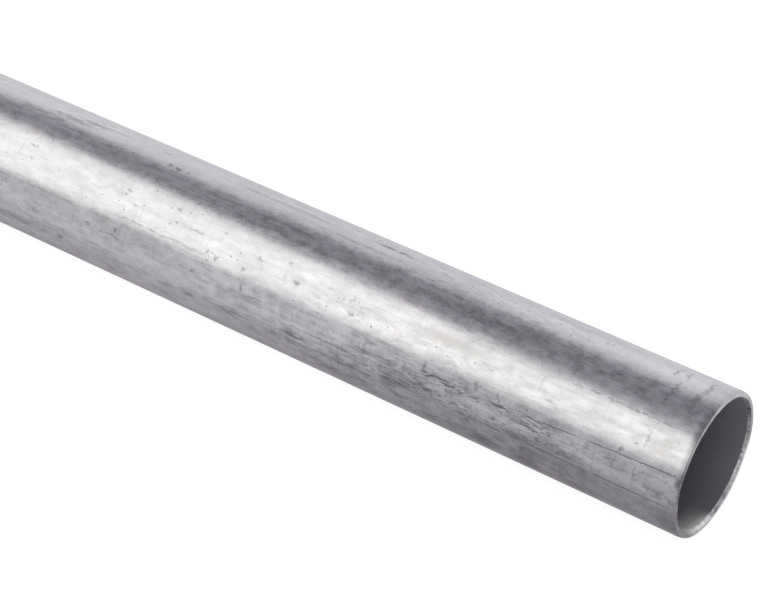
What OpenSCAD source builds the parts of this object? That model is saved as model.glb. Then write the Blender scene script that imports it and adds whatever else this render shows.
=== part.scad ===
// Electrical metallic conduit, trade size 1: one full length of thin-walled, seam-welded, galvanized steel
// tube with plain ends, lying on a level floor. The bore runs along X and the origin is its centre, halfway
// along the tube. The photographed mouth is the one at +X. All sizes are in millimetres.

/* [Tube] */
// Outside diameter of the tube
tube_od = 29.54; // [17.93:0.01:55.8]
// Thickness of the steel wall
wall = 1.45; // [1.07:0.01:2.1]
// Length that the tube is sold in
tube_length = 3048; // [300:1:3658]

/* [Ends] */
// How far the reamer's bevel cuts into the wall at each mouth
ream_width = 0.4; // [0.1:0.05:0.6]
// How deep the same bevel runs into the bore
ream_depth = 0.6; // [0.1:0.05:2]
// Radius that the deburring brush leaves on the outer corner
corner_radius = 0.2; // [0.05:0.05:0.4]

/* [Weld seam] */
// Turn of the seam from the top of the tube, towards -Y
seam_turn = 91; // [0:1:359]
// Width of the weld bead left inside the bore
bead_width = 1.8; // [0.8:0.1:3]
// Height of that bead over the straight line between its edges
bead_height = 0.12; // [0.05:0.01:0.25]
// Width of the flat that the scarfing knife leaves on the outside
scarf_width = 2.4; // [1:0.1:4]

/* [Hidden] */
$fn = 96;
zinc_grey = [0.66, 0.66, 0.68];
overshoot = 1;
outer_radius = tube_od / 2;
bore_radius = outer_radius - wall;
// The bead's crest lies one bead height inside the chord that it spans on the bore
bead_crest = sqrt(pow(bore_radius, 2) - pow(bead_width / 2, 2)) - bead_height;
bead_radius = (pow(bead_width / 2, 2) + pow(bead_height, 2)) / (2 * bead_height);
// The scarfed flat is a chord of the outside
scarf_distance = sqrt(pow(outer_radius, 2) - pow(scarf_width / 2, 2));

// The modules work on a tube that stands upright on the origin's middle, with the photographed mouth on top
// and the seam towards +Y. The last one turns the seam to its place and lays the tube down.

// What the deburring brush takes off a square outer corner that lies at the profile's origin
module corner_sliver() {
    difference() {
        translate([-corner_radius, -corner_radius])
            square(corner_radius + overshoot);
        translate([-corner_radius, -corner_radius])
            circle(r = corner_radius);
    }
}

// A solid bar of the tube's length and diameter, with the outer corners of both ends rounded
module rounded_bar() {
    rotate_extrude()
        difference() {
            translate([0, -tube_length / 2])
                square([outer_radius, tube_length]);
            for (end = [0, 1])
                mirror([0, end])
                    translate([outer_radius, tube_length / 2])
                        corner_sliver();
        }
}

// The open space in the tube, with the weld's low rounded ridge left standing along it
module bore_space() {
    difference() {
        cylinder(h = tube_length + 2 * overshoot, r = bore_radius, center = true);
        translate([0, bead_crest + bead_radius, 0])
            cylinder(h = tube_length + 4 * overshoot, r = bead_radius, center = true);
    }
}

// The reamer's cone in the upper mouth, which runs on past the bore's own radius to cut the bead's end too
module ream_cone() {
    slope = ream_width / ream_depth;
    tip_radius = bead_crest - bead_height;
    reach = ream_depth + (bore_radius - tip_radius) / slope;
    translate([0, 0, tube_length / 2 - reach])
        cylinder(
            h = reach + overshoot,
            r1 = tip_radius,
            r2 = bore_radius + ream_width + slope * overshoot
        );
}

// The strip outside the flat, which the scarfing knife takes off along the weld
module scarfed_strip() {
    translate([0, scarf_distance + wall / 2, 0])
        cube([2 * scarf_width, wall, tube_length + 2 * overshoot], center = true);
}

module conduit_tube() {
    color(zinc_grey)
        rotate([90, 0, 90])
            rotate(seam_turn)
                difference() {
                    rounded_bar();
                    bore_space();
                    scarfed_strip();
                    for (end = [0, 1])
                        mirror([0, 0, end])
                            ream_cone();
                }
}

conduit_tube();
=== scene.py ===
# %% [markdown]
# # A length of galvanized electrical conduit
# The object is one piece of stock: a thin-walled steel tube of trade size 1, three metres long, welded
# along a seam, dipped in zinc and cut square at both ends. A tube is nearly the plainest form there is, so
# almost all of what the eye reads as "real" is in the wall's cut edge, in the seam, and in the marks that
# drawing, zinc and handling leave on the surface. This script builds the tube round the CAD model, then
# spends its nodes there.

# %% Load the frame
import math

import bmesh
import bpy
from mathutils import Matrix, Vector, noise


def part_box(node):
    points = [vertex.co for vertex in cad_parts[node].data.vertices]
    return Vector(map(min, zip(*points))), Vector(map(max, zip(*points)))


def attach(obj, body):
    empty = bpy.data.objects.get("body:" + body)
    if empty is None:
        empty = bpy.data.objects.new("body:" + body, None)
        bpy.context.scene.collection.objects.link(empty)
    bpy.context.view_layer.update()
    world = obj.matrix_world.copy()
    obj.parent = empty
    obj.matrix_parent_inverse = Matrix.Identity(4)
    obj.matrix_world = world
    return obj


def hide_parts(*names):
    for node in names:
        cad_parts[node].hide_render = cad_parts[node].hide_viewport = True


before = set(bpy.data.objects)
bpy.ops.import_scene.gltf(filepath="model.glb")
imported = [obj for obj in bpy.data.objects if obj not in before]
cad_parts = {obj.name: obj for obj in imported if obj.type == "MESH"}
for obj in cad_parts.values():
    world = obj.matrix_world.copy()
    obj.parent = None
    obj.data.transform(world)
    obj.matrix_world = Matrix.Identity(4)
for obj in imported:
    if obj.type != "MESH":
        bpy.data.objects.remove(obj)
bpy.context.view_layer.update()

scene = bpy.context.scene
MM = 0.001
print("CAD nodes:", sorted(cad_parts))

# %% [markdown]
# ## The sizes of the tube
# A maker's drawing of conduit needs only three numbers, the diameter, the wall and the length, and the rest
# are the traces of its tools: the reamer's bevel in each mouth, the corner that the deburring brush rounds,
# the weld bead inside and the flat that the scarfing knife leaves outside. They are the CAD model's own
# numbers, in metres, apart from the outer corner, which the model rounds by 0.2 mm and which is rolled in
# here by its drop and its run. The bore runs along X, the photographed mouth is at +X, and the origin is
# halfway along the tube.

# %% Sizes
OUTER_RADIUS = 14.77 * MM
WALL = 1.45 * MM
HALF_LENGTH = 1524 * MM
REAM_WIDTH = 0.4 * MM
REAM_DEPTH = 0.6 * MM
CORNER_DROP = 0.34 * MM
CORNER_RUN = 1.2 * MM
SEAM_TURN = math.radians(91)
BEAD_WIDTH = 1.8 * MM
BEAD_HEIGHT = 0.12 * MM
SCARF_WIDTH = 2.4 * MM

BORE_RADIUS = OUTER_RADIUS - WALL
DIAMETER = 2 * OUTER_RADIUS
low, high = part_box("conduit_tube")
print("outside diameter", round(DIAMETER / MM, 2), "mm, CAD box", [round(v / MM, 2) for v in high - low])

# %% [markdown]
# ## Spinning the wall round the bore
# A tube could be two cylinders and a boolean, or a cylinder with a Solidify modifier. Both leave the four
# edges of the mouth to be cut afterwards. Here the wall is drawn once, as its long thin section above the
# axis, with the reamer's bevel already in it, and is spun a full turn. A cutting wheel rolls the outer
# corner in a little as it bites, so the bevel operator rounds that corner and its points are then drawn out
# along the tube.

# %% Draw and spin the wall
STEPS = 384
CORNER_STEPS = 7
SURFACE_SLACK = 0.01 * MM
MERGE_DISTANCE = 0.001 * MM


def wall_section(mesh):
    """The section of the wall above the axis, as a closed loop of edges, and its two outer corners."""
    corners = []
    for side in (1, -1):
        corners.append(
            (
                mesh.verts.new((side * (HALF_LENGTH - REAM_DEPTH), 0, BORE_RADIUS)),
                mesh.verts.new((side * HALF_LENGTH, 0, BORE_RADIUS + REAM_WIDTH)),
                mesh.verts.new((side * HALF_LENGTH, 0, OUTER_RADIUS)),
            )
        )
    loop = list(corners[0]) + list(reversed(corners[1]))
    for first, second in zip(loop, loop[1:] + loop[:1]):
        mesh.edges.new((first, second))
    return [corners[0][2], corners[1][2]]


tube_mesh = bmesh.new()
outer_corners = wall_section(tube_mesh)
bmesh.ops.bevel(
    tube_mesh,
    geom=outer_corners,
    offset=CORNER_DROP,
    offset_type="OFFSET",
    affect="VERTICES",
    segments=CORNER_STEPS,
    profile=0.5,
    material=-1,
)
for vert in tube_mesh.verts:
    depth = HALF_LENGTH - abs(vert.co.x)
    if vert.co.z > BORE_RADIUS + REAM_WIDTH + SURFACE_SLACK:
        vert.co.x = math.copysign(HALF_LENGTH - depth * CORNER_RUN / CORNER_DROP, vert.co.x)
bmesh.ops.spin(
    tube_mesh,
    geom=tube_mesh.verts[:] + tube_mesh.edges[:],
    cent=(0, 0, 0),
    axis=(1, 0, 0),
    dvec=(0, 0, 0),
    angle=math.tau,
    steps=STEPS,
    use_merge=True,
)
bmesh.ops.remove_doubles(tube_mesh, verts=tube_mesh.verts[:], dist=MERGE_DISTANCE)
print("wall spun:", len(tube_mesh.faces), "faces")

# %% [markdown]
# The spin leaves one face from mouth to mouth. Knife cuts across the tube add rings, which stand close
# together near the mouths, where small dents need them, and far apart between.

# %% Cut rings
RING_DISTANCES = (0.15, 0.35, 0.8, 1.6, 2.4, 3.4, 4.6, 6, 8, 10.5, 13.5, 17, 22, 30, 45, 70)
MIDDLE_RING_GAP = 100 * MM

ring_places = [side * (HALF_LENGTH - d * MM) for d in RING_DISTANCES for side in (1, -1)]
middle = HALF_LENGTH - RING_DISTANCES[-1] * MM
middle_rings = int(2 * middle / MIDDLE_RING_GAP)
ring_places += [middle * (2 * i / middle_rings - 1) for i in range(1, middle_rings)]
for place in ring_places:
    bmesh.ops.bisect_plane(
        tube_mesh,
        geom=tube_mesh.verts[:] + tube_mesh.edges[:] + tube_mesh.faces[:],
        plane_co=(place, 0, 0),
        plane_no=(1, 0, 0),
    )
bmesh.ops.recalc_face_normals(tube_mesh, faces=tube_mesh.faces[:])
print("rings cut:", len(ring_places), "and now", len(tube_mesh.faces), "faces")

# %% [markdown]
# ## The weld seam
# The strip is rolled until its edges meet, and they are welded. Inside, the weld stays as a low rounded
# bead. Outside, a knife planes it flush, which leaves a narrow flat. Both are only moves of the points near
# the seam: outside, a point goes in to the flat's chord, and inside, it goes in to the bead's arc.

# %% Shape the seam
BEAD_CREST = math.sqrt(BORE_RADIUS**2 - (BEAD_WIDTH / 2) ** 2) - BEAD_HEIGHT
BEAD_ARC = ((BEAD_WIDTH / 2) ** 2 + BEAD_HEIGHT**2) / (2 * BEAD_HEIGHT)
SCARF_DISTANCE = math.sqrt(OUTER_RADIUS**2 - (SCARF_WIDTH / 2) ** 2)
SEAM_REACH = math.pi / 4
LEAST_MOVE = 0.0001 * MM


def roll_of(point):
    """How far a point is turned round the tube from its top, towards -Y."""
    return math.atan2(-point.y, point.z)


def at_roll(x, roll, radius):
    """The point of that roll and radius."""
    return Vector((x, -radius * math.sin(roll), radius * math.cos(roll)))


def bead_surface(turn):
    """The radius of the bead's surface at that turn from the seam, or the bore's beside the bead."""
    centre = BEAD_CREST + BEAD_ARC
    across = centre * math.sin(turn)
    if abs(turn) > SEAM_REACH or abs(across) >= BEAD_ARC:
        return BORE_RADIUS
    return min(BORE_RADIUS, centre * math.cos(turn) - math.sqrt(BEAD_ARC**2 - across**2))


moved = 0
for vert in tube_mesh.verts:
    point_roll = roll_of(vert.co)
    turn = (point_roll - SEAM_TURN + math.pi) % math.tau - math.pi
    radius = math.hypot(vert.co.y, vert.co.z)
    wanted = radius
    if abs(turn) < SEAM_REACH:
        if radius < BORE_RADIUS + SURFACE_SLACK:
            wanted = bead_surface(turn)
        else:
            wanted = min(radius, SCARF_DISTANCE / math.cos(turn))
    if abs(wanted - radius) > LEAST_MOVE:
        vert.co = at_roll(vert.co.x, point_roll, wanted)
        moved += 1
print("points moved for the bead and the flat:", moved)

# %% [markdown]
# ## Burrs and handling at the mouth
# No cut and reamed edge is even. The reamer chatters, so the bevel's edge swings in and out, and here and
# there a burr stays on it. The cut face has low waves too. All of it is a smooth noise on the points, the
# same in every run, and it fades out within a millimetre of the cut.

# %% Roughen the cut edges
EDGE_SWING = 0.09 * MM
BURR_HEIGHT = 0.5 * MM
FACE_WAVE = 0.05 * MM
EDGE_REACH = 0.9 * MM
BEVEL_REACH = 1.1 * REAM_WIDTH
BURR_LEVEL = 0.25
OUTSIDE_SHARE = 0.35
COARSE_LUMPS = 260
FINE_LUMPS = 900
BURR_LUMPS = 640
WAVE_LUMPS = 180


def edge_noise(point, lumps):
    """A smooth value from -1 to 1 that has that many lumps in a metre, and three times that along X."""
    return noise.noise(Vector((point.x * 3, point.y, point.z)) * lumps)


for vert in tube_mesh.verts:
    radius = math.hypot(vert.co.y, vert.co.z)
    depth = HALF_LENGTH - abs(vert.co.x)
    if depth > EDGE_REACH:
        continue
    fade = 1 - depth / EDGE_REACH
    swing = EDGE_SWING * (0.6 * edge_noise(vert.co, COARSE_LUMPS) + 0.4 * edge_noise(vert.co, FINE_LUMPS))
    burr = -BURR_HEIGHT * max(0, edge_noise(vert.co, BURR_LUMPS) - BURR_LEVEL)
    if radius < BORE_RADIUS + BEVEL_REACH:
        push = swing + burr
    else:
        push = swing * OUTSIDE_SHARE
    wave = FACE_WAVE * fade * (edge_noise(vert.co, WAVE_LUMPS) - 1)
    vert.co = at_roll(vert.co.x + math.copysign(wave, vert.co.x), roll_of(vert.co), radius + fade * push)
tube_mesh.normal_update()
print("cut edges swing by", EDGE_SWING / MM, "mm")

# %% [markdown]
# ## Shader arithmetic in Python
# Node trees for worn metal are long sums and products of masks. One small class wraps a socket, so that
# Python's own operators add the Math nodes, and one method adds every other kind of node.

# %% Shader helpers
class Wire:
    """A value on its way between two nodes."""

    def __init__(self, finish, socket):
        self.finish = finish
        self.socket = socket

    def __add__(self, other):
        return self.finish.maths("ADD", self, other)

    __radd__ = __add__

    def __mul__(self, other):
        return self.finish.maths("MULTIPLY", self, other)

    __rmul__ = __mul__

    def __sub__(self, other):
        return self.finish.maths("SUBTRACT", self, other)

    def __rsub__(self, other):
        return self.finish.maths("SUBTRACT", other, self)

    def __truediv__(self, other):
        return self.finish.maths("DIVIDE", self, other)

    def __neg__(self):
        return self.finish.maths("MULTIPLY", self, -1)


class Finish:
    """A material under construction, with the coordinates that every finish of the tube starts from."""

    def __init__(self, name):
        self.material = bpy.data.materials.new(name)
        self.material.use_nodes = True
        self.nodes = self.material.node_tree.nodes
        self.links = self.material.node_tree.links
        self.shader = self.nodes["Principled BSDF"]
        self.place = self.node("ShaderNodeTexCoord", output="Object")
        self.x = self.node("ShaderNodeSeparateXYZ", sockets={0: self.place}, output="X")
        self.y = Wire(self, self.x.socket.node.outputs["Y"])
        self.z = Wire(self, self.x.socket.node.outputs["Z"])
        self.roll = self.maths("ARCTAN2", -self.y, self.z) * math.degrees(1)

    def node(self, kind, settings=None, sockets=None, output=0):
        """Any node: its settings are set first, then its sockets are given values or links."""
        made = self.nodes.new(kind)
        for name, value in (settings or {}).items():
            setattr(made, name, value)
        for name, value in (sockets or {}).items():
            self.put(made.inputs[name], value)
        return Wire(self, made.outputs[output])

    def put(self, socket, value):
        """Gives a socket a link or a value."""
        if isinstance(value, Wire):
            self.links.new(value.socket, socket)
        else:
            socket.default_value = value

    def maths(self, operation, first, second=0.0, clamp=False):
        """A Math node, clamped to 0 and 1 if asked."""
        settings = {"operation": operation, "use_clamp": clamp}
        return self.node("ShaderNodeMath", settings, {0: first, 1: second})

    def clamped(self, value):
        """The value held between 0 and 1."""
        return self.maths("ADD", value, 0.0, clamp=True)

    def rise(self, value, start, end):
        """0 below start and 1 above end, with a soft step between. It falls where start is above end."""
        settings = {"interpolation_type": "SMOOTHSTEP"}
        return self.node("ShaderNodeMapRange", settings, {0: value, 1: start, 2: end})

    def lobe(self, centre, half_width, soft):
        """1 within half_width degrees of that roll, with a soft fall to 0 and no break at the bottom."""
        turned = self.maths("COSINE", (self.roll - centre) * math.radians(1))
        outer = math.cos(math.radians(half_width + soft))
        return self.rise(turned, outer, math.cos(math.radians(half_width - soft)))

    def stretched(self, along, across, shift=0.0):
        """The place on the tube, with that many units in a metre along it and across it."""
        settings = {"operation": "MULTIPLY_ADD"}
        sockets = {0: self.place, 1: (along, across, across), 2: (shift, shift, shift)}
        return self.node("ShaderNodeVectorMath", settings, sockets)

    def cloud(self, along, across, detail, roughness, shift=0.0):
        """Noise from 0 to 1 with those lumps in a metre. A shift gives another pattern."""
        place = self.stretched(along, across, shift)
        sockets = {"Vector": place, "Scale": 1.0, "Detail": detail, "Roughness": roughness}
        return self.node("ShaderNodeTexNoise", None, sockets, "Fac")

    def mixed(self, factor, first, second):
        """Two colours mixed by a factor."""
        return self.node("ShaderNodeMix", {"data_type": "RGBA"}, {0: factor, 6: first, 7: second}, 2)


print("shader helpers:", [name for name in vars(Finish) if not name.startswith("_")])

# %% [markdown]
# ## The zinc outside
# Hot zinc on a drawn tube is a satin grey metal with fine lengthwise lines. Where the tube was handled,
# wetted and stacked, the zinc turns a darker, cloudy grey in dashes along the lines.

# %% Zinc and the chart of the tube
ZINC_LIGHT = (0.575, 0.57, 0.585, 1)
ZINC_DARK = (0.11, 0.106, 0.12, 1)
ZINC_STAIN = (0.44, 0.437, 0.41, 1)
RAGGEDNESS = (0.08, 6.0, 0)
WAVINESS = 0.35

zinc = Finish("drawn_zinc")
roll = zinc.roll
from_mouth = (HALF_LENGTH - zinc.x) / DIAMETER
mouth_stretch = zinc.rise(from_mouth, 3.2, 0.8)
from_end = (HALF_LENGTH - zinc.maths("ABSOLUTE", zinc.x)) / DIAMETER
chart = zinc.node("ShaderNodeCombineXYZ", None, {0: from_mouth, 1: roll})
ragged = zinc.node(
    "ShaderNodeTexNoise",
    None,
    {"Vector": zinc.stretched(600, 1000), "Scale": 1.0, "Detail": 2.0, "Roughness": 0.6},
    "Color",
)
ragged = zinc.node("ShaderNodeVectorMath", {"operation": "SUBTRACT"}, {0: ragged, 1: (0.5, 0.5, 0.5)})
ragged_chart = zinc.node(
    "ShaderNodeVectorMath",
    {"operation": "MULTIPLY_ADD"},
    {0: ragged, 1: RAGGEDNESS, 2: chart},
)
wavy_roll = zinc.node("ShaderNodeSeparateXYZ", None, {0: ragged_chart}, "Y")
wavy_roll = wavy_roll * WAVINESS + (1 - WAVINESS) * roll
print("the tube is", round(2 * HALF_LENGTH / DIAMETER, 1), "diameters long")

# %% [markdown]
# Most marks on a real tube are accidents, and accidents can't be had from noise alone. So the tube has a
# chart: diameters from the mouth in one direction, degrees round from the top in the other. A mark is an
# ellipse on that chart. Its edge is made ragged by adding a little noise to the chart before the distance
# is measured, which costs one noise for all the marks. The marks are joined two at a time, because a sum
# would make crossings too dark.

# %% Marks on the chart
def mark(place, size, soft=0.6):
    """A spot on the chart, 1 at its middle. Place and half size are diameters along and degrees round."""
    scale = (1 / size[0], 1 / size[1], 0)
    shift = (-place[0] / size[0], -place[1] / size[1], 0)
    sockets = {0: ragged_chart, 1: scale, 2: shift}
    away = zinc.node("ShaderNodeVectorMath", {"operation": "MULTIPLY_ADD"}, sockets)
    distance = zinc.node("ShaderNodeVectorMath", {"operation": "LENGTH"}, {0: away}, "Value")
    return zinc.rise(distance, 1 + soft, 1 - soft)


def strongest(*masks):
    """The highest of several masks at each point."""
    total = masks[0]
    for one in masks[1:]:
        total = zinc.maths("MAXIMUM", total, one)
    return total


def marks(places, soft=0.6):
    """The strongest of many marks at each point. Each has a place, a half size and a strength."""
    total = 0.0
    for along, turned, length, width, strength in places:
        total = zinc.maths("MAXIMUM", total, strength * mark((along, turned), (length, width), soft))
    return total


print("chart ready, with", len(zinc.nodes), "nodes")

# %% [markdown]
# ## Patterns that run all over the zinc
# Drawing leaves fine lines along the tube, zinc cools in soft cloudy patches, and handling adds short
# strokes and hair-thin ticks across. Each is the same noise with another stretch: lumps per metre along the
# tube, then lumps per metre across it. A photograph of such a surface could be wrapped round the tube
# instead, but noise on Object coordinates has no seam and no end, and can be read at any distance. The
# detail, the roughness and a shift that gives another pattern follow the two stretches. The pits are cells
# of a Voronoi texture, of which only a chosen share is dark, and the finest noise breaks those up.

# %% Noise patterns
streaks = zinc.cloud(22, 1700, 2, 0.5)
bands = zinc.cloud(6, 260, 3, 0.55, 3.0)
mottle = zinc.cloud(380, 700, 3, 0.6, 7.0)
strokes = zinc.cloud(140, 520, 3, 0.6, 9.0)
bloom = zinc.cloud(80, 170, 3, 0.55, 11.0)
region = zinc.cloud(12, 45, 2, 0.5, 15.0)
dashes = zinc.cloud(480, 3000, 2, 0.6, 19.0)
peel = zinc.cloud(240, 460, 3, 0.55, 23.0)
crackle = zinc.cloud(900, 1300, 3, 0.65, 27.0)
ticks = zinc.cloud(1700, 130, 2, 0.5, 33.0)

pit_place = zinc.node(
    "ShaderNodeVectorMath",
    {"operation": "MULTIPLY_ADD"},
    {0: ragged, 1: (1.2, 1.2, 1.2), 2: zinc.stretched(1150, 1500)},
)
pits = zinc.node("ShaderNodeTexVoronoi", {"feature": "F1"}, {"Vector": pit_place, "Scale": 1.0}, "Distance")
cell_colour = Wire(zinc, pits.socket.node.outputs["Color"])
chosen = zinc.node("ShaderNodeSeparateColor", None, {0: cell_colour}, "Red")
pitted = strongest(
    marks(
        [
            (1.75, 53, 0.45, 7, 1.0),
            (2.62, 51, 0.28, 11, 1.0),
            (3.4, 52, 0.7, 10, 0.45),
            (1.5, 65, 0.35, 5, 1.0),
            (4.5, 48, 0.9, 11, 0.35),
        ]
    ),
    0.4 * zinc.rise(region, 0.52, 0.66),
)
pit_share = 0.975 - 0.33 * pitted
pits = zinc.rise(pits, 0.40, 0.12) * zinc.rise(chosen, pit_share, pit_share + 0.02)
pits = pits * (0.15 + 0.85 * zinc.rise(crackle, 0.44, 0.54))

print("patterns ready, with", len(zinc.nodes), "nodes")

# %% [markdown]
# ## Where the zinc is etched
# White rust and handling have etched the photographed side in patches, most of all between the key light's
# band and the weld. Within a patch the zinc breaks into dark dashes and small peeled flakes with darker
# outlines. One mask says where the patches are, and it multiplies several noises, each cut at its own
# level.

# %% Etched patches
seam_side = marks(
    [
        (1.65, 72, 0.40, 4.0, 1.0),
        (1.10, 73, 0.40, 5.0, 0.7),
        (0.45, 74, 0.40, 6.0, 0.6),
        (1.85, 84, 0.45, 7.0, 1.0),
        (1.05, 85.5, 0.42, 5.5, 1.0),
        (2.40, 92, 0.50, 7.0, 0.7),
        (3.45, 95, 0.13, 5.0, 0.7),
        (2.95, 91, 0.15, 4.0, 0.8),
        (0.25, 80, 0.30, 8.0, 0.6),
        (0.55, 107, 0.45, 9.0, 0.45),
        (1.35, 106, 0.50, 9.0, 0.60),
        (2.30, 108, 0.60, 8.0, 0.45),
    ],
    0.8,
)
etched_area = seam_side + 0.8 * zinc.rise(region, 0.52, 0.70) * (1 - 0.6 * zinc.lobe(-20, 34, 12))
etched_area = zinc.clamped(etched_area + 0.15 * zinc.lobe(85, 40, 15))
etched = etched_area * zinc.rise(dashes, 0.52, 0.60) * (0.35 + 0.65 * zinc.rise(from_mouth, 0.4, 1.0))
peeled = etched_area * zinc.rise(peel, 0.54, 0.44)
outlined = etched_area * zinc.rise(zinc.maths("ABSOLUTE", peel - 0.5), 0.035, 0.0)
outlined = outlined * (1 + 0.8 * zinc.rise(from_mouth, 1.2, 0.5))
cracked = (0.3 + 0.7 * etched_area) * zinc.rise(crackle, 0.56, 0.68)
scratched = zinc.rise(ticks, 0.60, 0.72) * zinc.rise(bloom, 0.42, 0.58)

print("etched patches ready, with", len(zinc.nodes), "nodes")

# %% [markdown]
# ## Single dark marks
# These lie where they lie on the real tube: specks, upright ticks and dark feathers of dirt. Each row is
# the place in diameters from the mouth and degrees from the top, the half size in the same units, and the
# strength. The feathers are broken up by the same dashes as the etched patches, the specks are whole.

# %% Specks, feathers and stains
specks = marks(
    [
        (4.19, -1.5, 0.015, 1.2, 0.6),
        (4.28, -1.0, 0.030, 2.2, 0.9),
        (4.36, -1.5, 0.025, 1.6, 0.8),
        (4.48, -15.0, 0.020, 2.0, 0.4),
        (0.88, -14.0, 0.020, 1.8, 0.5),
        (3.87, 15.0, 0.020, 1.6, 0.6),
        (2.98, 48.0, 0.030, 1.8, 0.8),
        (3.08, 36.0, 0.012, 1.0, 0.6),
        (3.30, 43.0, 0.040, 0.9, 0.5),
        (3.40, 55.5, 0.018, 1.3, 0.7),
        (3.63, 36.0, 0.012, 1.2, 0.5),
        (3.63, 56.5, 0.018, 1.5, 0.7),
        (3.71, 54.0, 0.012, 2.5, 0.6),
        (3.84, 43.0, 0.060, 0.9, 0.5),
        (4.07, 46.0, 0.015, 1.2, 0.6),
        (4.04, 32.5, 0.015, 1.2, 0.5),
        (4.38, 44.0, 0.030, 0.9, 0.5),
        (4.48, 35.0, 0.015, 1.2, 0.5),
        (5.38, 32.5, 0.040, 0.9, 0.6),
        (5.35, 43.0, 0.015, 1.2, 0.5),
        (2.52, 52.8, 0.018, 1.6, 0.7),
        (2.55, 42.0, 0.010, 3.5, 0.4),
        (0.35, 53.6, 0.015, 1.5, 0.6),
        (0.99, 51.0, 0.040, 1.0, 0.5),
        (3.38, 70.0, 0.012, 3.0, 0.7),
        (4.48, 69.0, 0.012, 2.2, 0.9),
        (4.46, 75.5, 0.020, 1.2, 0.6),
        (4.72, 73.5, 0.020, 1.4, 0.6),
        (3.81, 98.3, 0.030, 1.6, 0.7),
        (4.05, 98.5, 0.060, 1.2, 0.6),
        (4.98, 98.7, 0.018, 2.2, 0.8),
        (1.89, 66.5, 0.008, 5.0, 0.8),
        (1.50, 64.0, 0.012, 4.0, 0.6),
        (1.33, 65.0, 0.010, 4.0, 0.5),
        (0.43, 62.0, 0.010, 2.5, 0.7),
        (0.66, 72.0, 0.014, 6.0, 0.5),
        (2.35, 71.0, 0.010, 7.0, 0.4),
        (2.90, 72.5, 0.010, 5.5, 0.4),
        (0.29, 47.0, 0.009, 7.0, 0.5),
        (1.08, 41.0, 0.008, 9.0, 0.3),
        (0.134, -12.0, 0.014, 9.0, 0.6),
        (0.150, 4.0, 0.020, 6.0, 0.55),
        (0.309, -17.0, 0.010, 5.0, 0.6),
        (0.380, -17.0, 0.012, 7.0, 0.6),
        (0.310, 2.0, 0.014, 7.0, 0.5),
        (0.66, 98.0, 0.010, 20.0, 0.4),
        (0.34, 110.0, 0.010, 9.0, 0.3),
    ]
)
feathers = marks(
    [
        (4.95, -14.5, 0.14, 1.4, 0.5),
        (5.12, -12.5, 0.12, 2.5, 0.55),
        (5.28, -7.0, 0.18, 3.0, 0.55),
        (5.50, 0.0, 0.22, 4.0, 0.5),
        (2.52, -16.5, 0.18, 2.0, 0.8),
        (2.10, -12.0, 0.06, 1.6, 0.4),
        (2.75, -5.0, 0.35, 1.4, 0.35),
        (3.40, -15.0, 0.45, 2.0, 0.35),
        (1.66, 72.7, 0.11, 1.2, 1.0),
        (1.80, 70.2, 0.16, 1.0, 1.0),
        (1.30, 71.0, 0.07, 1.2, 0.9),
        (1.05, 68.6, 0.12, 0.8, 0.8),
        (1.04, 76.2, 0.15, 1.0, 0.9),
        (0.45, 77.0, 0.10, 1.5, 0.6),
        (2.23, 74.5, 0.28, 0.8, 0.6),
        (2.35, 66.0, 0.08, 1.2, 0.6),
        (3.27, 74.0, 0.09, 0.8, 0.6),
        (3.84, 74.0, 0.09, 1.0, 0.6),
        (4.10, 57.0, 0.50, 0.8, 0.4),
        (4.55, 74.5, 0.08, 0.8, 0.6),
        (2.62, 15.4, 0.42, 2.2, 0.22),
        (3.20, 17.0, 0.45, 2.2, 0.22),
        (0.60, 15.4, 0.38, 2.0, 0.22),
        (1.50, 17.0, 0.40, 2.2, 0.20),
        (2.10, 90.3, 0.10, 3.0, 0.9),
        (1.88, 82.5, 0.10, 3.0, 0.9),
        (2.93, 90.0, 0.10, 2.5, 0.8),
        (2.45, 95.0, 0.06, 2.0, 0.6),
        (2.60, 82.0, 0.40, 0.9, 0.6),
        (0.62, 101.0, 0.22, 0.9, 0.5),
        (0.50, 32.0, 0.46, 0.7, 0.5),
    ]
)
stains = marks(
    [
        (1.80, 41.0, 0.30, 4.0, 0.6),
        (0.165, 43, 0.03, 2.5, 0.9),
        (0.195, 51, 0.03, 2, 0.9),
        (0.66, 41.5, 0.06, 1.2, 0.6),
    ]
)

print("single marks ready, with", len(zinc.nodes), "nodes")

# %% [markdown]
# ## Light marks
# Where zinc has flaked off or been rubbed, a fresh brighter face shows. They are marks of the same kind,
# but they lighten the zinc. The top near the mouth is a painted sheen, a little lighter all over, and a
# broad place far along the dark band is a painted reflection, lighter than the dim room it mirrors. Two
# more broad places are a little brighter all over.

# %% Flakes, painted sheen and lighter places
flakes = marks(
    [
        (1.49, 81.0, 0.06, 5.0, 1.0),
        (2.80, 81.4, 0.25, 0.9, 0.5),
        (3.25, 79.0, 0.35, 1.0, 0.6),
        (4.53, 91.7, 0.17, 1.0, 0.6),
        (5.37, 93.7, 0.09, 1.0, 0.6),
        (0.72, 88.0, 0.012, 5.0, 0.6),
        (0.28, -3.0, 0.02, 2.5, 0.6),
        (2.35, 75.5, 0.20, 1.0, 0.4),
    ]
)
# Painted sheen: the top near the mouth is made lighter all over.
painted_top_sheen = zinc.lobe(-18, 15, 8) * zinc.rise(from_mouth, 2.6, 0.8)
light = strongest(
    flakes,
    0.9 * painted_top_sheen,
    0.5 * etched_area * zinc.rise(peel, 0.56, 0.66),
    0.35 * zinc.rise(strokes, 0.58, 0.70),
    # Painted reflection: a broad place far along the dark band is made lighter, as if it mirrored a lighter
    # room.
    0.8 * mark((5.5, 7.0), (1.0, 10.0), 0.8),
    0.9 * mark((3.5, 65.0), (0.6, 8.0), 0.8),
    0.9 * mark((0.38, 103.0), (0.26, 7.0), 0.7),
)

print("light marks ready, with", len(zinc.nodes), "nodes")

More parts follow.
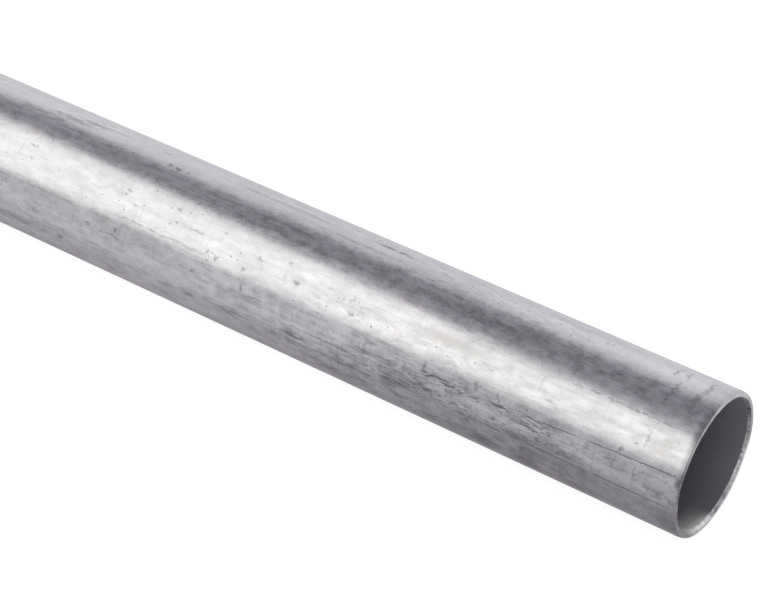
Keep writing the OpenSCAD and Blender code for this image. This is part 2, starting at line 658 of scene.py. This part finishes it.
# %% [markdown]
# ## Two lines, a smudge and painted corner shade
# The weld shows outside as one thin dark line, and a drawing die has scored another above it. A line is a
# narrow band of roll, a little wavy, and a coarse noise breaks it into stretches. At the mouth there is a
# dark smudge at roll 67, and a fainter dark mark at roll 20 that is painted shade on the rolled-in corner.
# About the last millimetre before either mouth is dulled by the brush.

# %% Lines, smudge and painted corner shade
line_break = zinc.rise(zinc.cloud(150, 60, 2, 0.6, 29.0), 0.38, 0.54)


def line(turned, half_width):
    """A thin line that runs lengthwise at that roll."""
    return zinc.rise(zinc.maths("ABSOLUTE", wavy_roll - turned), half_width, half_width * 0.2)


upper_line = line(64.0 + from_mouth * (2.6 + 1.7 * from_mouth), 0.9)
upper_line = upper_line * zinc.rise(from_mouth, 2.2, 0.6) * (0.3 + 0.7 * line_break)
seam_line = line(90.9, 0.9) * (0.45 + 0.55 * line_break)
seam_line = seam_line * (0.25 + 0.75 * zinc.rise(from_mouth, 2.2, 1.3))
lines = strongest(upper_line * 0.8, seam_line * 0.75)

# The mark at roll 20 is painted shade on the rolled-in corner; the one at roll 67 is a dark smudge.
smudge_and_corner_shade = strongest(mark((0.0, 67.0), (0.030, 7.0), 0.7), 0.45 * mark((0.0, 20.0), (0.035, 14.0), 0.6))
edge_wear = zinc.rise(from_end, 0.05, 0.008) * (0.20 + 0.22 * zinc.lobe(40, 24, 10))

print("lines ready, with", len(zinc.nodes), "nodes")

# %% [markdown]
# ## Putting the zinc together
# The zinc's patterns could each be mixed in by a node of their own, one over another, but then the last
# would hide the first. So they are added up, and their sum shifts the colour between a light and a dark
# zinc, more in the dark band along the top and on the underside than elsewhere. A few stains warm it.

# %% Zinc colour
near = zinc.rise(from_mouth, 4.2, 1.6) * zinc.lobe(78, 42, 14)
wear = 0.70 + 0.15 * zinc.lobe(45, 22, 10) + 0.75 * zinc.lobe(102, 34, 14) + 0.45 * zinc.lobe(11, 10, 7)
wear = (wear + 0.3 * zinc.lobe(112, 20, 10)) * (0.85 + 0.5 * near)
spread = 0.85 * (mottle - 0.5) + 0.45 * (streaks - 0.5) + 0.7 * (strokes - 0.5)
spread = spread + 0.60 * (bloom - 0.5) + 0.45 * (bands - 0.5) + 0.15 * (crackle - 0.5)
spread = spread + 0.3 * (ticks - 0.5) * (1 - zinc.lobe(45, 18, 8))
dark_band = zinc.lobe(10, 13, 8) * (0.3 + 0.5 * zinc.rise(from_mouth, 4.4, 3.4))
spread = spread + dark_band * (mottle + crackle - 1)
underside = zinc.lobe(108, 16, 8) * zinc.rise(from_mouth, 3.6, 2.6)
spread = spread + underside * (0.9 * (peel - 0.5) + 0.5 * (mottle - 0.5) - 0.5 * (strokes - 0.5))
tint = zinc.mixed(zinc.clamped(0.19 - 0.75 * wear * spread - 0.13 * light), ZINC_LIGHT, ZINC_DARK)
tint = zinc.mixed(stains * (0.3 + 0.7 * zinc.rise(mottle, 0.4, 0.6)), tint, ZINC_STAIN)

print("zinc colour ready, with", len(zinc.nodes), "nodes")

# %% [markdown]
# This colour has no edge that the eye could find. Its two wide soft bands on the underside, strongest near
# the mouth, are painted shade: they darken the zinc where it mirrors the floor in the tube's contact
# shadow. Two narrow bands darken it at rolls -46 and -3, and dulled places are put on the chart as the
# marks are, with a wider border; those on the underside, past roll 100, add to the painted shade.

# %% Painted underside shade and dulled places
# Painted shade: wide bands on the underside, darkest near the mouth.
underside_shade_and_dirt = zinc.lobe(112, 42, 10) * mouth_stretch * 0.14
underside_shade_and_dirt = underside_shade_and_dirt + zinc.lobe(130, 38, 9) * (0.18 + 0.24 * zinc.rise(from_mouth, 3.6, 1.2))
underside_shade_and_dirt = underside_shade_and_dirt + 0.11 * zinc.lobe(-46, 14, 8) + 0.09 * zinc.lobe(-3, 3.5, 2.5)
dulled_and_shaded = marks(
    [
        (3.0, -10, 1.2, 6, 0.14),
        (3.0, 102, 1.0, 6, 0.14),
        (0.9, 60, 1.1, 5, 0.24),
        (0.5, 46, 0.8, 10, 0.07),
        (0.8, 90, 0.9, 7, 0.22),
        (2.0, 116, 1.5, 9, 0.14),
        (1.08, 86.5, 0.45, 4.5, 0.30),
        (1.85, 86.5, 0.35, 5.5, 0.26),
        (1.10, 114, 0.11, 10, 0.36),
        (1.43, 112, 0.10, 7, 0.50),
        (1.83, 111, 0.10, 5, 0.32),
        (2.52, 112, 0.13, 7, 0.32),
        (0.08, 112, 0.10, 12, 0.28),
        (0.05, -14, 0.08, 9, 0.24),
        (1.80, 41.5, 0.28, 4, 0.20),
        (0.14, 42, 0.07, 5, 0.16),
        (0.35, 38, 0.40, 5, 0.05),
        (0.25, 77, 0.28, 6, 0.16),
        (0.72, 118, 0.14, 7, 0.28),
    ],
    0.9,
)
underside_shade_and_dirt = underside_shade_and_dirt + dulled_and_shaded

print("soft dirt ready, with", len(zinc.nodes), "nodes")

# %% [markdown]
# The hard marks come last and darken everything under them. Zinc is a metal, so its colour is what it
# mirrors with, and most of what looks like shading is a soft reflection of the studio. That is why the
# roughness and a very low bump matter as much as the colour: they make the borders of the reflected panels
# cloudy. The bump reads only a few of the noises, because a Bump node works out everything behind its
# height three times.

# %% Hard marks, roughness and bump
dark = strongest(etched * 0.80, peeled * 0.22, outlined * 0.40, cracked * 0.12, scratched * 0.17)
dark = strongest(dark, feathers * zinc.rise(dashes, 0.36, 0.52), specks * 0.8, pits * 0.7)
dark = strongest(dark, lines, smudge_and_corner_shade * 0.85, edge_wear)
# The underside's painted shade and the dulled places darken the zinc here.
tint = zinc.mixed(zinc.clamped(underside_shade_and_dirt * (0.4 + 1.2 * mottle)), tint, ZINC_DARK)
tint = zinc.mixed(zinc.clamped(dark), tint, ZINC_DARK)
zinc.put(zinc.shader.inputs["Base Color"], tint)
zinc.put(zinc.shader.inputs["Metallic"], 1.0)
rough = 0.28 + 0.06 * (streaks - 0.5) + 0.12 * (mottle - 0.5) + 0.06 * dark
zinc.put(zinc.shader.inputs["Roughness"], rough)
relief = 0.1 * streaks + 0.5 * mottle + 1.2 * bloom
bump = zinc.node("ShaderNodeBump", None, {"Strength": 1.0, "Distance": 0.03 * MM, "Height": relief})
zinc.put(zinc.shader.inputs["Normal"], bump)

print("zinc nodes:", len(zinc.nodes))

# %% [markdown]
# ## Bare steel on the cut
# The saw and the reamer leave bare steel, which is more broken than zinc: each tooth turns its facet
# another way. Real facets would need thousands of faces on a ring one millimetre wide. Here a fine noise
# changes the steel's colour and feeds a bump, and lobes of roll paint light and shade round the ring: a
# near-white painted reflection of the bright floor low on the far side, painted shade on the bevel at the
# upper right, and a face that is darker at rolls 71, 105 and -100 and lighter at rolls -22 and 45.

# %% Cut steel finish
STEEL_DARK = (0.10, 0.098, 0.105, 1)
STEEL_LIGHT = (0.95, 0.945, 0.94, 1)
BEVEL_RIM = (BORE_RADIUS + REAM_WIDTH) / MM

cut_steel = Finish("cut_steel")
cut_radius = cut_steel.maths("SQRT", cut_steel.y * cut_steel.y + cut_steel.z * cut_steel.z) / MM
on_bevel = cut_steel.rise(cut_radius, BEVEL_RIM + 0.13, BEVEL_RIM - 0.07)
grain = cut_steel.cloud(500, 900, 3, 0.65)
steel_grain_and_painted_light = 0.42 + 0.9 * (grain - 0.5)
steel_grain_and_painted_light = steel_grain_and_painted_light + 0.12 * cut_steel.lobe(-22, 28, 10) + 0.12 * cut_steel.lobe(45, 9, 6)
steel_grain_and_painted_light = steel_grain_and_painted_light - 0.22 * cut_steel.lobe(71, 14, 6) - 0.10 * cut_steel.lobe(105, 8, 6)
# Painted shade: the bevel is darkened round roll -45.
steel_grain_and_painted_light = steel_grain_and_painted_light - 0.30 * cut_steel.lobe(-45, 28, 14) * on_bevel
# Painted reflection: the ring is made near white round roll -158, low on the far side, where its rounded
# corner would mirror the bright floor.
painted_floor_reflection = cut_steel.lobe(-158, 48, 12)
steel_grain_and_painted_light = steel_grain_and_painted_light + painted_floor_reflection * (0.55 + 0.8 * (grain - 0.5) - 0.35 * on_bevel)
steel_grain_and_painted_light = steel_grain_and_painted_light - 0.10 * cut_steel.lobe(-100, 26, 14)
cut_steel.put(cut_steel.shader.inputs["Metallic"], 1.0)
cut_steel.put(
    cut_steel.shader.inputs["Base Color"],
    cut_steel.mixed(cut_steel.clamped(steel_grain_and_painted_light), STEEL_DARK, STEEL_LIGHT),
)
cut_steel.put(cut_steel.shader.inputs["Roughness"], 0.28 + 0.2 * grain)
chatter = cut_steel.node("ShaderNodeBump", None, {"Strength": 1.0, "Distance": 0.02 * MM, "Height": grain})
cut_steel.put(cut_steel.shader.inputs["Normal"], chatter)

print("cut steel nodes:", len(cut_steel.nodes))

# %% [markdown]
# ## The lining of the bore
# Inside, conduit has a smooth grey coating over the zinc, so that wires slide. It is paint more than metal,
# so it has little metallic and mirrors softly. One flat colour would look like plastic, so fine lengthwise
# streaks run through it. Near either mouth, low in the bore, the colour turns pale: partly the reamer's
# rubbing, partly painted light where light would fall in through the mouth, with a near-white painted
# light at the lip.

# %% Bore finish
LINING_DARK = (0.165, 0.158, 0.178, 1)
LINING_LIGHT = (0.22, 0.212, 0.232, 1)
LINING_RUBBED_AND_LIT = (0.62, 0.61, 0.575, 1)
LINING_PAINTED_LIGHT = (0.95, 0.94, 0.90, 1)

bore_lining = Finish("bore_lining")
mouth_depth = (HALF_LENGTH - bore_lining.maths("ABSOLUTE", bore_lining.x)) / MM
lining_streaks = bore_lining.cloud(25, 1500, 3, 0.6)
lining = bore_lining.mixed(lining_streaks, LINING_DARK, LINING_LIGHT)
# Pale patch low in the bore near the mouth: partly rubbed lining, partly painted light falling in through
# the mouth.
rubbed_and_lit = bore_lining.lobe(143, 32, 14) * bore_lining.rise(mouth_depth, 6, 0.5)
lining = bore_lining.mixed(rubbed_and_lit * 0.9, lining, LINING_RUBBED_AND_LIT)
# Painted light: a near-white patch at the lip, low in the bore.
painted_lip_light = bore_lining.lobe(155, 22, 12) * bore_lining.rise(mouth_depth, 2.2, 0.4)
lining = bore_lining.mixed(painted_lip_light * 0.9, lining, LINING_PAINTED_LIGHT)
bore_lining.put(bore_lining.shader.inputs["Base Color"], lining)
bore_lining.put(bore_lining.shader.inputs["Metallic"], 0.2)
bore_lining.put(bore_lining.shader.inputs["Roughness"], 0.45)

print("bore lining nodes:", len(bore_lining.nodes))

# %% [markdown]
# ## One mesh, three finishes
# The wall is one closed mesh, so each face picks its finish: faces that look outwards are zinc, faces that
# look along the tube are cut steel and the rest is the bore. Everything is shaded smooth, apart from the
# edges where two faces meet at more than 28 degrees. These are the two rims of the bevel and the crease
# where the cut face rolls over into the outer corner. The mesh then replaces the CAD solid and rides on its
# body.

# %% Finish the tube
FACES_OUT = 0.5
FACES_ALONG = 0.4
SHARP_ANGLE = math.radians(28)

tube_mesh.normal_update()
for face in tube_mesh.faces:
    centre = face.calc_center_median()
    radius = math.hypot(centre.y, centre.z)
    outward = face.normal.dot(Vector((0, centre.y, centre.z)).normalized())
    face.smooth = True
    if outward > FACES_OUT:
        face.material_index = 0
    elif abs(face.normal.x) > FACES_ALONG:
        face.material_index = 1
    else:
        face.material_index = 2
for edge in tube_mesh.edges:
    if len(edge.link_faces) == 2 and edge.calc_face_angle() > SHARP_ANGLE:
        edge.smooth = False

mesh = bpy.data.meshes.new("conduit_wall")
tube_mesh.to_mesh(mesh)
tube_mesh.free()
for finish in (zinc, cut_steel, bore_lining):
    mesh.materials.append(finish.material)
tube = bpy.data.objects.new("conduit_wall", mesh)
scene.collection.objects.link(tube)
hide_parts("conduit_tube")
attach(tube, "root")
print("tube:", sum(len(p.vertices) - 2 for p in mesh.polygons), "triangles")

# %% [markdown]
# ## The studio
# The tube lies on a plain pale floor. One sheet can't do both of its jobs. The camera has to see clean
# white paper, almost without a shadow, as on a light table, while metal that mirrored such a sheet from
# below would have no dark side. So there are two: the camera sees the light table, and the metal mirrors
# the grey floor. The grey floor's colour is darker close to the tube, a painted shadow where the tube keeps
# the light off it.

# %% Floors
FLOOR_SIZE = 80
GREY_FLOOR_DROP = 0.02 * MM
CLOSE_SHADE_MM = (18, 9)
WIDE_SHADE_MM = (110, 25)
CLOSE_SHARE = 0.73
BLACK = (0, 0, 0, 1)
WHITE = (1, 1, 1, 1)


def staged(name, shape, material):
    """An object with that material, made of a bmesh, which is freed."""
    data = bpy.data.meshes.new(name)
    shape.to_mesh(data)
    shape.free()
    data.materials.append(material)
    made = bpy.data.objects.new(name, data)
    scene.collection.objects.link(made)
    return made


def floor_sheet(name, drop, tone, glow, near_shade):
    """A level sheet under the tube, with its own light from below where glow isn't 0."""
    sheet = bmesh.new()
    bmesh.ops.create_grid(sheet, x_segments=1, y_segments=1, size=FLOOR_SIZE / 2)
    bmesh.ops.translate(sheet, verts=sheet.verts[:], vec=(0, 0, -OUTER_RADIUS - drop))
    paper = Finish(name)
    from_line = paper.maths("ABSOLUTE", paper.y) / MM
    # Painted shadow: the sheet's colour darkens near the line under the tube, as far as near_shade says.
    shade = CLOSE_SHARE * paper.rise(from_line, *CLOSE_SHADE_MM)
    shade = shade + (1 - CLOSE_SHARE) * paper.rise(from_line, *WIDE_SHADE_MM)
    paper.put(paper.shader.inputs["Base Color"], paper.mixed(near_shade * shade, tone, BLACK))
    paper.put(paper.shader.inputs["Roughness"], 0.9)
    paper.put(paper.shader.inputs["Specular IOR Level"], 0.1)
    paper.put(paper.shader.inputs["Emission Color"], WHITE)
    paper.put(paper.shader.inputs["Emission Strength"], glow)
    return staged(name, sheet, paper.material)


light_table = floor_sheet("light_table", drop=0, tone=(0.33, 0.33, 0.33, 1), glow=0.84, near_shade=0)
light_table.visible_glossy = False
light_table.visible_shadow = False
grey_floor = floor_sheet(
    "grey_floor",
    drop=GREY_FLOOR_DROP,
    tone=(0.84, 0.82, 0.845, 1),
    glow=0,
    near_shade=0.45,
)
grey_floor.visible_camera = False
grey_floor.visible_diffuse = False
grey_floor.visible_shadow = False

print("floor sheets:", light_table.name, "and", grey_floor.name)

# %% [markdown]
# A low camera would look over the floor's edge into the dark of the studio. So a round wall of glowing
# paper stands far off on every side, for the camera only.

# %% Backdrop
WALL_DISTANCE = 38
WALL_HEIGHT = 40
WALL_FOOT = 1
WALL_GLOW = 0.96


def glow_finish(name, colour, strength):
    """A material that only gives off light."""
    material = bpy.data.materials.new(name)
    material.use_nodes = True
    shader = material.node_tree.nodes["Principled BSDF"]
    shader.inputs["Base Color"].default_value = BLACK
    shader.inputs["Specular IOR Level"].default_value = 0
    shader.inputs["Emission Color"].default_value = colour
    shader.inputs["Emission Strength"].default_value = strength
    return material


wall_mesh = bmesh.new()
bmesh.ops.create_cone(
    wall_mesh,
    cap_ends=False,
    segments=96,
    radius1=WALL_DISTANCE,
    radius2=WALL_DISTANCE,
    depth=WALL_HEIGHT,
)
wall_middle = WALL_HEIGHT / 2 - OUTER_RADIUS - WALL_FOOT
bmesh.ops.translate(wall_mesh, verts=wall_mesh.verts[:], vec=(0, 0, wall_middle))
backdrop = staged("backdrop", wall_mesh, glow_finish("backdrop", WHITE, WALL_GLOW))
backdrop.visible_glossy = False
backdrop.visible_diffuse = False
backdrop.visible_shadow = False

print("backdrop:", WALL_DISTANCE, "m away")

# %% [markdown]
# ## Soft light
# A tube mirrors a narrow slice of everything round it, so its light is drawn by the edges of the panels.
# The key panel makes the wide bright band, the back panel the pale top and the low panel the grey under the
# bright band. Between key and back there is only the dim studio, and that is the dark band. The key's
# corner is cut off on a slant, which makes the bright band narrower towards the mouth. Panels are glowing
# faces rather than area lights, because such a face may have any outline. Each corner is given by its place
# along X, in metres, and its roll round the tube, in degrees.

# %% Panels
def card(name, distance, corners, colour, strength):
    """A panel of light that the camera doesn't see, with its corners at that distance from the tube."""
    panel = bmesh.new()
    places = [at_roll(x, math.radians(turned), distance) for x, turned in corners]
    panel.faces.new([panel.verts.new(place) for place in places])
    made = staged(name, panel, glow_finish(name, colour, strength))
    made.visible_camera = False
    made.visible_shadow = False


card(
    "key_panel",
    distance=1.3,
    corners=[(2.4, 76), (2.4, 27.5), (1.3, 27.5), (0.42, -5.5), (-3.4, -5.5), (-3.4, 76)],
    colour=(1.0, 0.98, 0.96, 1),
    strength=1.88,
)
card(
    "back_panel",
    distance=1.6,
    corners=[(3.0, -43), (3.0, -88), (-4.0, -88), (-4.0, -45)],
    colour=(0.975, 0.98, 1.0, 1),
    strength=1.18,
)
card(
    "low_panel",
    distance=1.3,
    corners=[(1.0, 79), (-3.4, 79), (-3.4, 98), (1.0, 98)],
    colour=(1.0, 0.985, 1.0, 1),
    strength=0.75,
)

# %% [markdown]
# Between the panels the metal mirrors the dim room, which is the world's one colour. The floor needs more
# light than the panels give it. More panels would show on the tube, so one area light hangs over the floor,
# and neither the camera nor any reflection shows it.

# %% Room light
ROOM_GREY = (0.335, 0.335, 0.38, 1)
WASH_PLACE = Vector((0, 0.2, 3))
WASH_LENGTH = 6
WASH_WIDTH = 4
WASH_WATTS = 32

world = bpy.data.worlds.new("studio")
scene.world = world
world.use_nodes = True
world.node_tree.nodes["Background"].inputs["Color"].default_value = ROOM_GREY
world.node_tree.nodes["Background"].inputs["Strength"].default_value = 1.0

wash_light = bpy.data.lights.new("overhead_wash", "AREA")
wash_light.shape = "RECTANGLE"
wash_light.size = WASH_LENGTH
wash_light.size_y = WASH_WIDTH
wash_light.energy = WASH_WATTS
wash = bpy.data.objects.new("overhead_wash", wash_light)
wash.location = WASH_PLACE
wash.rotation_euler = (-WASH_PLACE).to_track_quat("-Z", "Y").to_euler()
wash.visible_glossy = False
wash.visible_camera = False
scene.collection.objects.link(wash)

print("room light:", wash.name, WASH_WATTS, "watts")

# %% [markdown]
# ## The camera
# The camera is placed from the photograph's geometry. The two straight sides of the tube give the direction
# of its axis, the ellipse of the mouth gives how far it is turned, and the known diameter gives the
# distance.

# %% Camera
FORWARD = Vector((-0.45415, 0.63942, -0.62040))
CAMERA_PLACE = (1.66781, -0.30719, 0.30412)
LENS_MM = 113.9
SENSOR_MM = 36

camera_data = bpy.data.cameras.new("camera")
camera_data.sensor_width = SENSOR_MM
camera_data.sensor_fit = "HORIZONTAL"
camera_data.lens = LENS_MM
camera = bpy.data.objects.new("camera", camera_data)
camera.location = CAMERA_PLACE
camera.rotation_euler = FORWARD.to_track_quat("-Z", "Y").to_euler()
scene.collection.objects.link(camera)
scene.camera = camera
scene.view_settings.view_transform = "Standard"

print("camera at", [round(value, 3) for value in camera.location], "m")

# %% [markdown]
# The dressed tube has to stay inside the CAD model's box, apart from a hair.
